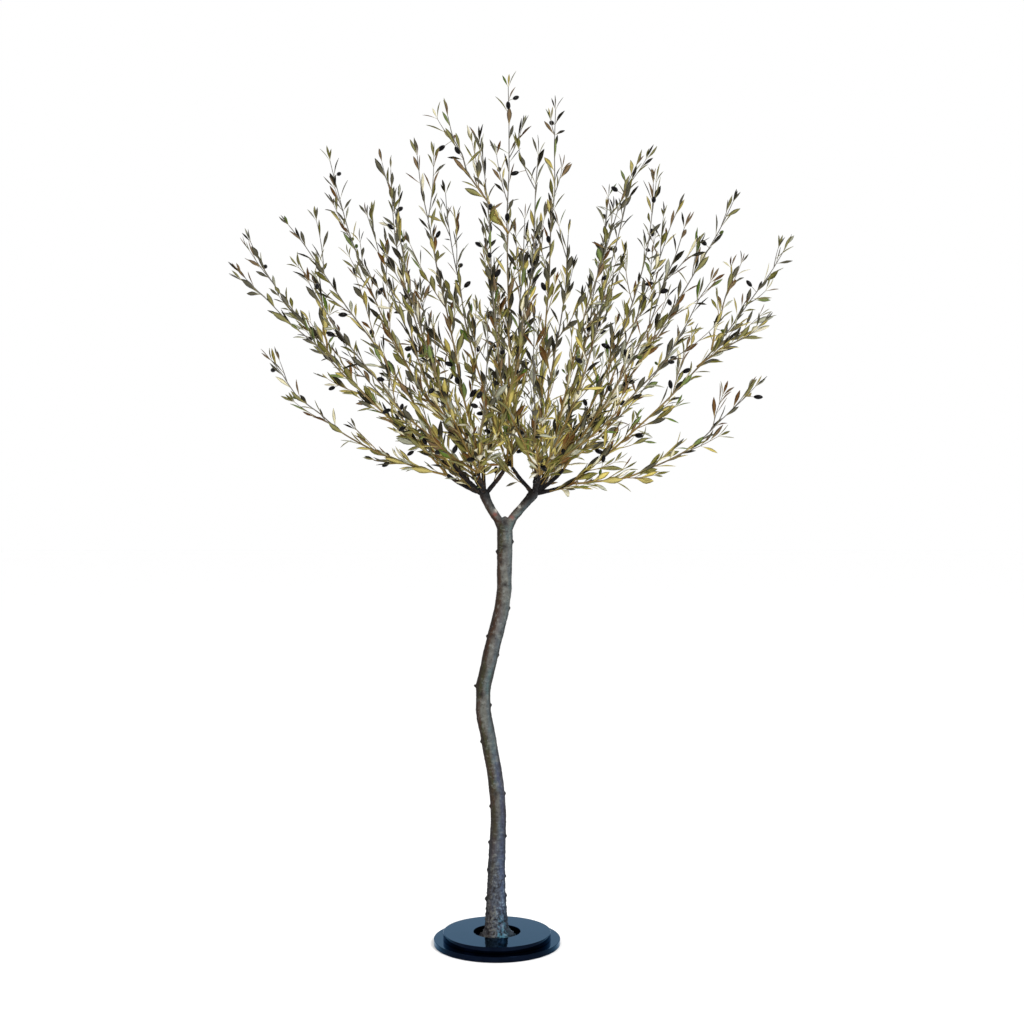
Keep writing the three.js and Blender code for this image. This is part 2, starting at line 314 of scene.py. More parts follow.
def add_primitive(kind, **settings):
    """Adds a primitive at its size and place, with nothing else selected."""
    deselect_all()
    getattr(bpy.ops.mesh, f"primitive_{kind}_add")(**settings)
    primitive = bpy.context.active_object
    set_place(primitive)
    return primitive


def facing(direction):
    """The turn that points a primitive's own Z in a direction."""
    return Vector(direction).to_track_quat("Z", "Y").to_euler()


def finish_piece(piece, name, finish, nodes):
    piece.name = name
    piece.data.name = name
    piece.data.materials.clear()
    piece.data.materials.append(finish)
    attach(piece, "root")
    if nodes:
        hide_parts(*nodes)


# ---- materials -----------------------------------------------------------------------------------


class Wire:
    """A socket in a material's node tree, so that shader maths reads as a Python expression."""

    def __init__(self, sheet, socket):
        self.sheet = sheet
        self.socket = socket

    def __add__(self, other):
        return self.sheet.math("ADD", self, other)

    def __sub__(self, other):
        return self.sheet.math("SUBTRACT", self, other)

    def __rsub__(self, other):
        return self.sheet.math("SUBTRACT", other, self)

    def __mul__(self, other):
        return self.sheet.math("MULTIPLY", self, other)

    def __neg__(self):
        return self * -1

    def __abs__(self):
        return self.sheet.math("ABSOLUTE", self)

    __radd__ = __add__
    __rmul__ = __mul__

    def ramp(self, low, high):
        """0 below low, 1 above high and smooth between them."""
        settings = {"interpolation_type": "SMOOTHSTEP"}
        node = self.sheet.node("ShaderNodeMapRange", settings, self, low, high, 0.0, 1.0)
        return Wire(self.sheet, node.outputs[0])


class Sheet:
    """A new material and its nodes."""

    def __init__(self, name, **surface):
        self.material = bpy.data.materials.new(name)
        self.material.use_nodes = True
        self.tree = self.material.node_tree
        self.surface = self.tree.nodes["Principled BSDF"]
        self.feed(self.surface, surface)

    def feed(self, node, values):
        for key, value in values.items():
            socket = node.inputs[key.replace("_", " ") if isinstance(key, str) else key]
            if isinstance(value, Wire):
                self.tree.links.new(value.socket, socket)
            elif socket.type == "RGBA" and len(value) == 3:
                socket.default_value = (*value, 1.0)
            else:
                socket.default_value = value

    def node(self, kind, settings=None, *values, **named):
        """Adds a node, with its settings first and then the values or wires of its sockets."""
        node = self.tree.nodes.new(kind)
        for key, value in (settings or {}).items():
            setattr(node, key, value)
        self.feed(node, dict(enumerate(values)))
        self.feed(node, named)
        return node

    def math(self, operation, *values):
        return Wire(self, self.node("ShaderNodeMath", {"operation": operation}, *values).outputs[0])

    def noise(self, scale, stretch=(1, 1, 1), detail=3.0, roughness=0.55):
        """A cloud pattern on the object, drawn out along each axis where stretch is below 1."""
        spot = Wire(self, self.node("ShaderNodeTexCoord").outputs["Object"])
        place = Wire(self, self.node("ShaderNodeMapping", None, spot, Scale=stretch).outputs[0])
        values = {"Vector": place, "Scale": scale, "Detail": detail, "Roughness": roughness}
        return Wire(self, self.node("ShaderNodeTexNoise", None, **values).outputs[0])

    def attribute(self, name):
        return Wire(self, self.node("ShaderNodeAttribute", {"attribute_name": name}).outputs["Fac"])

    def mix(self, factor, first, second):
        """Blends two colours."""
        node = self.node("ShaderNodeMix", {"data_type": "RGBA"})
        self.feed(node, {0: factor, 6: first, 7: second})
        return Wire(self, node.outputs[2])

    def coat(self, colour, *coats):
        """Lays coats over a colour, each given as how much of it shows and its own colour."""
        for amount, layer in coats:
            colour = self.mix(amount, colour, layer)
        return colour

    def bump(self, height, strength, distance):
        node = self.node("ShaderNodeBump", None, Height=height, Strength=strength, Distance=distance)
        return Wire(self, node.outputs[0])

    def finish(self, **surface):
        self.feed(self.surface, surface)
        return self.material


def lacquer_finish(name):
    """Deep blue-black lacquer that mirrors its surroundings, with the faintest haze of fine dust."""
    stand = bpy.context.scene.olive_stand
    sheet = Sheet(name, Metallic=1.0, Specular_Tint=stand.sheen)
    haze = sheet.noise(38.0, detail=4.0)
    dust = sheet.noise(900.0, detail=1.0).ramp(0.68, 0.8)
    return sheet.finish(
        Base_Color=sheet.mix(haze.ramp(0.3, 0.7), stand.lacquer, tuple(1.5 * c for c in stand.lacquer)),
        Roughness=stand.gloss + 0.05 * haze + 0.12 * dust,
    )


def bark_finish():
    """Smooth grey bark, brown and mossy on the left and slate on the right, rough and stained at the foot,
    with painted shade down both sides and in the foot's hollows and painted highlights on the foot's ridges.
    """
    bark = bpy.context.scene.olive_bark
    sheet = Sheet("weathered bark", Specular_IOR_Level=0.12)
    side = sheet.attribute("side")
    height = sheet.attribute("height")
    relief = sheet.attribute("relief")
    streaks = sheet.noise(34.0, (1, 1, 0.22), detail=5.0)
    patches = sheet.noise(18.0, (1, 1, 0.6), detail=4.0)
    flecks = sheet.noise(170.0, (1, 1, 0.8), detail=4.0, roughness=0.7)
    wrinkles = sheet.noise(64.0, (0.9, 0.9, 2.8), detail=4.0, roughness=0.65)
    foot = 1 - height.ramp(0.12, 0.36)
    boughs = (height + (patches - 0.5) * 0.10).ramp(1.190, 1.240)
    wander = (streaks - 0.5) * 2.4 + (patches - 0.5) * 2.0
    left = (wander * 0.65 - side).ramp(-0.15, 0.55)
    rightward = wander + side
    right = rightward.ramp(-0.10, 0.90)
    # rim: painted shade down the trunk's left and right sides, brown-black above and blue-black low down
    rim = (abs(side) - side * 0.07 + wander * 0.35).ramp(0.52, 1.0)
    low = 1 - height.ramp(0.22, 0.42)
    blots = sheet.noise(60.0, detail=3.0)
    violet = height.ramp(0.10, 0.20) * (1 - height.ramp(0.44, 0.60)) * rightward.ramp(0.10, 0.70)
    plain = 1 - 0.6 * height.ramp(0.26, 0.36) * (1 - height.ramp(0.76, 0.86))
    broken = patches.ramp(0.38, 0.58) * plain
    stain = (1 - height.ramp(0.045, 0.10)) * rightward.ramp(-0.1, 0.4) * blots.ramp(0.40, 0.54)
    # the painted highlight for the tops of the foot's ridges, bluer towards the right
    ridge_highlight = sheet.mix(rightward.ramp(-0.5, 0.2), srgb(108, 108, 102), bark.ridge_highlight)
    colour = sheet.coat(
        bark.grey,
        (streaks.ramp(0.35, 0.65), srgb(84, 78, 78)),
        (low * 0.85, srgb(66, 73, 86)),
        (left * (1 - low * 0.5), bark.brown),
        (left * (1 - low * 0.6) * patches.ramp(0.47, 0.57) * 0.85, bark.moss),
        (right * 0.85, bark.slate),
        (right * patches.ramp(0.50, 0.60) * 0.6, srgb(76, 100, 96)),
        (violet * 0.65, srgb(56, 56, 84)),
        # blots, wrinkles and flecks, each dark and pale
        (blots.ramp(0.50, 0.66) * 0.3, srgb(44, 42, 42)),
        ((1 - blots).ramp(0.52, 0.68) * 0.35, srgb(126, 128, 122)),
        (wrinkles.ramp(0.52, 0.66) * broken * 0.6, bark.hollow),
        ((1 - wrinkles).ramp(0.54, 0.68) * broken * 0.45, srgb(122, 124, 118)),
        (flecks.ramp(0.58, 0.72) * (0.35 + 0.4 * foot), srgb(136, 144, 150)),
        ((1 - flecks).ramp(0.54, 0.68) * 0.6, bark.hollow),
        # the stained foot, with painted highlights on its ridges and painted shade in its hollows
        (stain * 0.85, bark.verdigris),
        (foot * rightward.ramp(-0.1, 0.5) * 0.5, srgb(66, 80, 112)),
        (foot * relief.ramp(0.1, 1.0) * 0.75, ridge_highlight),
        ((foot * 0.6 + 0.35) * (-relief).ramp(0.0, 0.8) * 0.9, bark.hollow),
        # painted shade down the left and right sides, the scars and the boughs with their marks
        (rim * 0.8, sheet.mix(low, srgb(28, 18, 13), srgb(20, 23, 30))),
        (sheet.attribute("scar") * 0.85, bark.hollow),
        (boughs * 0.85, bark.dark),
        (sheet.attribute("graze") * blots.ramp(0.36, 0.60) * 0.6, srgb(138, 72, 60)),
        # bare: painted pale highlights on the boughs
        (sheet.attribute("bare") * flecks.ramp(0.34, 0.50), srgb(196, 192, 182)),
        (boughs * flecks.ramp(0.60, 0.72) * 0.35, srgb(140, 140, 146)),
    )
    skin = flecks * 0.5 + wrinkles * 0.7 + streaks * 0.4
    return sheet.finish(
        Base_Color=colour,
        Roughness=0.5 + 0.3 * flecks,
        Normal=sheet.bump(skin, 0.7, 0.002),
    )


def limb_finish():
    bark = bpy.context.scene.olive_bark
    sheet = Sheet("dark limb bark", Specular_IOR_Level=0.12)
    streaks = sheet.noise(45.0, detail=4.0)
    flecks = sheet.noise(220.0, detail=3.0)
    brown = (streaks.ramp(0.5, 0.68) * 0.6, srgb(62, 46, 32))
    pale = (flecks.ramp(0.58, 0.7) * 0.35, srgb(104, 100, 98))
    return sheet.finish(
        Base_Color=sheet.coat(bark.dark, brown, pale),
        Roughness=0.55 + 0.3 * flecks,
        Normal=sheet.bump(flecks + streaks, 0.5, 0.001),
    )


def leaf_finish(name, colour):
    """One plain leaf colour, yellower at the stalk and along the midrib, with paler backs, and blended leaf
    by leaf between a painted-shade and a painted-light copy of itself.
    """
    leaf_colours = bpy.context.scene.olive_leaf_colours
    sheet = Sheet(name, Specular_IOR_Level=0.08)
    uv = sheet.node("ShaderNodeUVMap", {"uv_map": "leaf"})
    parts = sheet.node("ShaderNodeSeparateXYZ", None, Wire(sheet, uv.outputs[0]))
    across, along = Wire(sheet, parts.outputs[0]), Wire(sheet, parts.outputs[1])
    midrib = 1 - across.ramp(0.03, 0.16)
    shade = sheet.attribute("shade")
    mottle = sheet.noise(80.0, detail=3.0)
    yellow = (1 - (along - shade * 0.25).ramp(0.02, 0.42)) * (0.25 + 0.5 * shade)
    # a lit copy and a shaded copy of the colour, painted light and painted shade, that each leaf's shade
    # blends between
    lit_copy = tuple(min(1.0, 2.05 * c + 0.014) for c in colour)
    shaded_copy = tuple(part * c for part, c in zip((0.28, 0.25, 0.16), colour))
    edge = (across + along * 0.6).ramp(0.85, 1.35)
    pale = tuple(0.6 * c + 0.4 * b for c, b in zip(colour, leaf_colours.underside))
    base = sheet.coat(
        shaded_copy,
        (shade, lit_copy),
        (mottle.ramp(0.35, 0.65) * 0.4, colour),
        (sheet.attribute("back") * 0.55, pale),
        (yellow, leaf_colours.stalk),
        (edge * 0.65, tuple(0.35 * c for c in colour)),
        (midrib * 0.3, tuple(min(1.0, 1.8 * c + 0.02) for c in colour)),
    )
    return sheet.finish(
        Base_Color=base,
        Roughness=0.45 + 0.2 * mottle,
        Normal=sheet.bump(midrib * 0.6 + mottle * 0.5, 0.3, 0.0005),
    )


def stem_finish():
    """Thin bark, golden brown in the crown's heart and silver-grey towards its rim."""
    sheet = Sheet("shoot bark", Specular_IOR_Level=0.12)
    streaks = sheet.noise(60.0, (1, 1, 0.4), detail=3.0)
    flecks = sheet.noise(420.0, detail=2.0)
    rim = sheet.attribute("rim") * 0.8 + streaks * 0.4
    silver = (rim.ramp(0.35, 0.8), srgb(100, 97, 90))
    dark = (flecks.ramp(0.55, 0.7) * 0.6, srgb(52, 42, 32))
    return sheet.finish(
        Base_Color=sheet.coat(srgb(131, 108, 60), silver, dark),
        Roughness=0.6 + 0.2 * flecks,
        Normal=sheet.bump(flecks, 0.4, 0.0005),
    )


def olive_finish(name, ripe, bloom):
    sheet = Sheet(name, Specular_IOR_Level=0.1, Coat_Roughness=0.1)
    blush = sheet.noise(55.0, detail=2.0)
    pores = sheet.noise(900.0, detail=1.0)
    return sheet.finish(
        Base_Color=sheet.mix(blush.ramp(0.45, 0.75), ripe, bloom),
        Roughness=0.15 + 0.2 * blush,
        Coat_Weight=0.04 - 0.03 * blush,
        Normal=sheet.bump(pores, 0.15, 0.0003),
    )


# ---- stand ---------------------------------------------------------------------------------------

DISC_SIDES = 160


def add_disc(node):
    low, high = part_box(node)
    radius, depth, centre = (high.x - low.x) / 2, high.z - low.z, (low + high) / 2
    return add_primitive("cylinder", vertices=DISC_SIDES, radius=radius, depth=depth, location=centre)


def round_edges(disc):
    stand = bpy.context.scene.olive_stand
    bpy.ops.object.shade_smooth()
    settings = {"limit_method": "ANGLE", "angle_limit": math.radians(40), "harden_normals": True}
    apply_modifier(disc, "BEVEL", width=stand.edge, segments=4, **settings)


def model_disc(node, name, inset, hollow, lacquer):
    """A disc with its flat faces inset, and bridged through where it is hollow, and its edges rounded."""
    disc = add_disc(node)
    begin_edit(disc, "FACE")
    pick_faces(disc, lambda face: abs(face.normal.z) > 0.9)
    bpy.ops.mesh.inset(thickness=inset)
    if hollow:
        bpy.ops.mesh.bridge_edge_loops()
    end_edit()
    round_edges(disc)
    finish_piece(disc, name, lacquer_finish(lacquer), [node])


class OLIVE_OT_stand_plate(Operator):
    """Model the stand's wide lower disc"""

    bl_idname = "olive.stand_plate"
    bl_label = "Lower disc"

    def execute(self, context):
        model_disc("stand_plate", "lower_disc", 0.012, False, "disc lacquer")
        return {"FINISHED"}


class OLIVE_OT_stand_ring(Operator):
    """Model the stand's upper disc, with the hole that the trunk stands in"""

    bl_idname = "olive.stand_ring"
    bl_label = "Upper disc"

    def execute(self, context):
        low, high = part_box("stand_ring")
        corners, _ = node_mesh("stand_ring")
        hole = np.linalg.norm(corners[:, :2], axis=1).min()
        model_disc("stand_ring", "upper_disc", (high.x - low.x) / 2 - hole, True, "ring lacquer")
        return {"FINISHED"}


# ---- trunk, boughs and limbs ---------------------------------------------------------------------

# Where twigs were cut off the trunk: height, bearing in degrees (0 right, 90 back, 180 left, 270
# front), how far the stub stands out and how wide it is.
STUBS = [
    (1.112, 2, 0.0040, 0.0065),
    (1.084, 186, 0.0045, 0.0065),
    (0.929, -4, 0.0035, 0.0065),
    (0.851, 183, 0.0040, 0.0070),
    (0.799, 8, 0.0030, 0.0060),
    (0.713, 180, 0.0060, 0.0060),
    (0.660, -3, 0.0045, 0.0060),
    (0.558, 184, 0.0045, 0.0055),
    (0.414, 2, 0.0030, 0.0080),
    (0.378, 182, 0.0035, 0.0060),
    (0.297, -6, 0.0030, 0.0065),
    (0.278, 176, 0.0040, 0.0070),
    (0.203, 186, 0.0040, 0.0070),
    (0.185, 3, 0.0035, 0.0060),
    (0.131, -2, 0.0040, 0.0065),
    (0.124, 188, 0.0050, 0.0100),
    (1.020, 95, 0.0040, 0.0065),
    (0.760, 80, 0.0045, 0.0065),
    (0.480, 110, 0.0040, 0.0060),
    (0.230, 72, 0.0045, 0.0070),
]

# Where the two boughs' bark is grazed red, and where a pale highlight is painted on it: distance to the right
# of the fork's top, height above it, and reach.
GRAZES = [(0.018, -0.001, 0.0065), (-0.0275, 0.009, 0.0060)]
HIGHLIGHT_SPOTS = [(-0.024, 0.020, 0.0055), (0.040, 0.030, 0.0040)]

# Healed scars, each a low round lip with a hollow in it: height, bearing and width.
SCARS = [
    (1.165, 266, 0.0080),
    (1.099, 268, 0.0095),
    (1.056, 241, 0.0045),
    (0.994, 275, 0.0065),
    (0.860, 306, 0.0050),
    (0.693, 253, 0.0080),
    (0.416, 257, 0.0075),
    (0.134, 222, 0.0085),
    (1.060, 70, 0.0060),
    (0.900, 120, 0.0065),
    (0.600, 60, 0.0070),
    (0.340, 100, 0.0070),
]


def turn_ring(centre, turn):
    """Turns the selected ring about its centre by a small turn, given as one angle for each axis."""
    for axis, angle in zip("XYZ", turn):
        if abs(angle) > 1e-5:
            bpy.ops.transform.rotate(value=-angle, orient_axis=axis, center_override=tuple(centre))


def extrude_limb(centres, radii, sides, depths=None):
    """A limb: a circle at its root, extruded along its centre line and closed at its end.

    Depths give each ring's size from front to back, as shares of its width.
    """
    depths = np.ones(len(radii)) if depths is None else depths
    directions = np.gradient(centres, axis=0)
    directions /= np.linalg.norm(directions, axis=1)[:, None]
    deselect_all()
    bpy.ops.mesh.primitive_circle_add(
        vertices=sides,
        radius=radii[0],
        fill_type="NGON",
        location=centres[0],
        rotation=facing(directions[0]),
    )
    limb = bpy.context.active_object
    bpy.ops.object.mode_set(mode="EDIT")
    bpy.ops.mesh.select_all(action="SELECT")
    for i in range(1, len(centres)):
        step = centres[i] - centres[i - 1]
        bpy.ops.mesh.extrude_region_move(TRANSFORM_OT_translate={"value": tuple(step)})
        turn_ring(centres[i], np.cross(directions[i - 1], directions[i]))
        grow = radii[i] / radii[i - 1]
        deepen = grow * depths[i] / depths[i - 1]
        bpy.ops.transform.resize(value=(grow, deepen, grow), center_override=tuple(centres[i]))
    bpy.ops.mesh.select_all(action="SELECT")
    bpy.ops.mesh.normals_make_consistent(inside=False)
    end_edit()
    set_place(limb)
    return limb


def fork_depth(height):
    """How deep the trunk is from front to back, as a share of its width: it flattens towards the fork."""
    return 1 - 0.38 * np.clip((height - 1.085) / 0.08, 0, 1) ** 1.5


def on_trunk(height, bearing):
    """The spot of the trunk's surface at a height and bearing, and the way outwards there."""
    centres, radii = trunk_sections()
    x, y, radius = (np.interp(height, centres[:, 2], values) for values in (*centres[:, :2].T, radii))
    turn = math.radians(bearing)
    outward = Vector((math.cos(turn), math.sin(turn), 0))
    reach = Vector((outward.x, outward.y * fork_depth(height), 0)) * radius
    return Vector((x, y, height)) + reach, outward


def add_stub(height, bearing, reach, width):
    """A short blunt stub that leans upwards out of the trunk."""
    spot, outward = on_trunk(height, bearing)
    lean = (outward + Vector((0, 0, 0.5))).normalized()
    depth = reach + width
    return add_primitive(
        "cone",
        vertices=12,
        radius1=1.25 * width,
        radius2=0.4 * width,
        depth=depth,
        location=spot + lean * (reach - depth / 2),
        rotation=facing(lean),
    )


def add_scar(height, bearing, width):
    """A low lip round a hollow, wider than it is high, that barely stands out of the trunk."""
    spot, outward = on_trunk(height, bearing)
    scar = add_primitive(
        "torus",
        major_segments=20,
        minor_segments=8,
        major_radius=0.62 * width,
        minor_radius=0.30 * width,
        location=spot - 0.08 * width * outward,
        rotation=facing(outward),
    )
    bpy.ops.transform.resize(value=(1, 1, 0.7), center_override=tuple(spot))
    set_place(scar)
    return scar


def join_skin(parts, voxel):
    """Joins limbs into one skin of even faces and softens the creases between them."""
    skin = parts[0]
    activate(skin)
    for part in parts[1:]:
        part.select_set(True)
    bpy.ops.object.join()
    apply_modifier(skin, "REMESH", mode="VOXEL", voxel_size=voxel)
    apply_modifier(skin, "SMOOTH", factor=0.5, iterations=4)
    return skin


def roughen(bark, grain, stretch, strength, group=""):
    """Raises relief on the bark from a cloud pattern, stretched along the trunk by stretch."""
    texture = bpy.data.textures.new("relief", "CLOUDS")
    texture.noise_scale = grain
    texture.noise_depth = 2
    deselect_all()
    bpy.ops.object.empty_add(location=(0.3, 0.2, 0.1))
    ruler = bpy.context.active_object
    ruler.scale = (1, 1, stretch)
    apply_modifier(
        bark,
        "DISPLACE",
        texture=texture,
        texture_coords="OBJECT",
        texture_coords_object=ruler,
        strength=strength,
        mid_level=0.5,
        vertex_group=group,
    )
    bpy.data.objects.remove(ruler)
    bpy.data.textures.remove(texture)


def write_attribute(mesh, name, values, domain="POINT"):
    attribute = mesh.attributes.new(name, "FLOAT", domain)
    attribute.data.foreach_set("value", np.asarray(values, dtype=np.float32))


def paint_relief(bark, smooth, normals):
    """Stores how far each spot of the bark stands out of the smooth skin it was raised from."""
    raised = ((corner_array(bark.data) - smooth) * normals).sum(axis=1)
    write_attribute(bark.data, "relief", raised / 0.002)


def closeness(corners, spot, reach):
    """1 at a spot, fading to nothing some way beyond its reach."""
    return np.exp(-((np.linalg.norm(corners - np.array(spot), axis=1) / reach) ** 2))


def paint_places(bark):
    """Stores which side of the trunk each spot lies on, how high it is, and how near to a mark."""
    corners = corner_array(bark.data)
    centres, radii = trunk_sections()
    middle = np.interp(corners[:, 2], centres[:, 2], centres[:, 0])
    radius = np.interp(corners[:, 2], centres[:-FORK_RINGS, 2], radii[:-FORK_RINGS])
    side = (corners[:, 0] - middle) / radius
    from_fork = corners[:, 0] - centres[-1, 0]
    apart = np.clip(abs(from_fork) / radii[-FORK_RINGS], 0, 1)
    for name, this_side in (("bough_left", from_fork < 0), ("bough_right", from_fork >= 0)):
        bough, bough_radii = bough_sections(name)
        offset = corners[:, 0] - np.interp(corners[:, 2], bough[:, 2], bough[:, 0])
        on_bough = this_side * np.interp(corners[:, 2], (bough[0, 2], bough[4, 2]), (0, 1))
        side += on_bough * (0.7 * apart * offset / bough_radii[2] - side)
    write_attribute(bark.data, "side", np.clip(side, -1.2, 1.2))
    write_attribute(bark.data, "height", corners[:, 2])
    marks = [(height, bearing, width) for height, bearing, _, width in STUBS] + SCARS
    dark = [closeness(corners, on_trunk(height, bearing)[0], width) for height, bearing, width in marks]
    write_attribute(bark.data, "scar", np.max(dark, axis=0))
    fork = centres[-1][[0, 2]]
    # graze: red grazes on the bark; bare: painted pale highlights on the boughs
    for name, spots in (("graze", GRAZES), ("bare", HIGHLIGHT_SPOTS)):
        near = [closeness(corners[:, [0, 2]], fork + offset, reach) for *offset, reach in spots]
        write_attribute(bark.data, name, np.max(near, axis=0))


def flatten_foot(bark, level):
    """Cuts the bark off level where it stands on the plate, and closes the cut."""
    begin_edit(bark)
    bpy.ops.mesh.select_all(action="SELECT")
    bpy.ops.mesh.bisect(plane_co=(0, 0, level), plane_no=(0, 0, 1), clear_inner=True, use_fill=True)
    end_edit()


class OLIVE_OT_bark(Operator):
    """Model the trunk and its two boughs as one skin with the bark's relief"""

    bl_idname = "olive.bark"
    bl_label = "Trunk and boughs"

    def execute(self, context):
        centres, radii = trunk_sections()
        root, crest = centres[0] - (0, 0, 0.008), centres[-1] + (0, 0, 0.004)
        centres = np.vstack([root, centres, crest])
        radii = np.concatenate([radii[:1], radii, 0.65 * radii[-1:]])
        parts = [extrude_limb(centres, radii, 32, fork_depth(centres[:, 2]))]
        parts += [extrude_limb(*bough_sections(name), 20) for name in BOUGH_NODES]
        parts += [add_stub(*stub) for stub in STUBS]
        parts += [add_scar(*scar) for scar in SCARS]
        bark = join_skin(parts, context.scene.olive_bark.voxel)
        smooth, normals = corner_array(bark.data), read_rows(bark.data.vertices, "normal")
        foot = bark.vertex_groups.new(name="foot")
        for level, weight in ((0.34, 0.2), (0.26, 0.45), (0.19, 0.7), (0.11, 1.0)):
            foot.add(np.flatnonzero(smooth[:, 2] < level).tolist(), weight, "REPLACE")
        roughen(bark, 0.045, 1.6, 0.0035)
        roughen(bark, 0.012, 2.6, 0.0014)
        roughen(bark, 0.010, 0.5, 0.0012)
        roughen(bark, 0.011, 0.8, 0.0048, "foot")
        roughen(bark, 0.0050, 1.3, 0.0052, "foot")
        paint_relief(bark, smooth, normals)
        paint_places(bark)
        flatten_foot(bark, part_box("trunk")[0].z)
        activate(bark)
        bpy.ops.object.shade_smooth()
        finish_piece(bark, "trunk_and_boughs", bark_finish(), ["trunk", *BOUGH_NODES])
        return {"FINISHED"}


class OLIVE_OT_limbs(Operator):
    """Model the limbs that leave the boughs' ends as one skin"""

    bl_idname = "olive.limbs"
    bl_label = "Limbs"

    def execute(self, context):
        parts = [extrude_limb(*limb_sections(name), 12) for name in LIMB_NODES]
        limbs = join_skin(parts, context.scene.olive_bark.limb_voxel)
        roughen(limbs, 0.016, 1.0, 0.0024)
        roughen(limbs, 0.006, 1.0, 0.0012)
        activate(limbs)
        bpy.ops.object.shade_smooth()
        finish_piece(limbs, "limbs", limb_finish(), LIMB_NODES)
        return {"FINISHED"}


# ---- the branching rule --------------------------------------------------------------------------

# The leaves' tones, and the chance of each in the crown's heart and at its rim. A whole spray takes its
# tone from the first few of them.
TONES = ("deep", "olive", "golden", "rust", "silver", "cream", "fresh")
INNER_TONES = (0.11, 0.28, 0.22, 0.06, 0.10, 0.18, 0.05)
OUTER_TONES = (0.44, 0.20, 0.04, 0.14, 0.10, 0.02, 0.06)
SPRAY_TONES = 4

# How widely spaced the twigs are on each limb's shoots.
TWIG_ROOM = {
    "left_low": 1.35,
    "left_mid": 1.25,
    "left_top": 0.80,
    "left_inner": 1.00,
    "left_front": 1.60,
    "left_back": 1.60,
    "right_inner": 1.00,
    "right_top": 0.95,
    "right_stub": 0.90,
    "right_mid": 0.85,
    "right_low": 0.75,
    "right_front": 1.60,
    "right_back": 1.60,
}


GOLDEN_ANGLE = 137.5  # degrees from one leaf or twig to the next, round a stem
LEAF_GRID = 0.006  # distance between the spots where a leaf may stand
BARE_TIP = 0.024  # end of a stem that only carries its tip's leaves
SHORTEST_TWIG = 0.035


def unit(vector):
    return vector / np.linalg.norm(vector)


def turned(onward, aside, angle):
    """A direction turned by an angle towards one that is square to it."""
    return math.cos(angle) * onward + math.sin(angle) * aside


def resample(line, step):
    """The points of a line at even steps, and the distance of each from its start."""
    places = np.concatenate([[0], np.cumsum(np.linalg.norm(np.diff(line, axis=0), axis=1))])
    spots = np.linspace(0, places[-1], max(3, round(places[-1] / step) + 1))
    points = np.stack([np.interp(spots, places, line[:, side]) for side in range(3)], axis=1)
    return points, spots


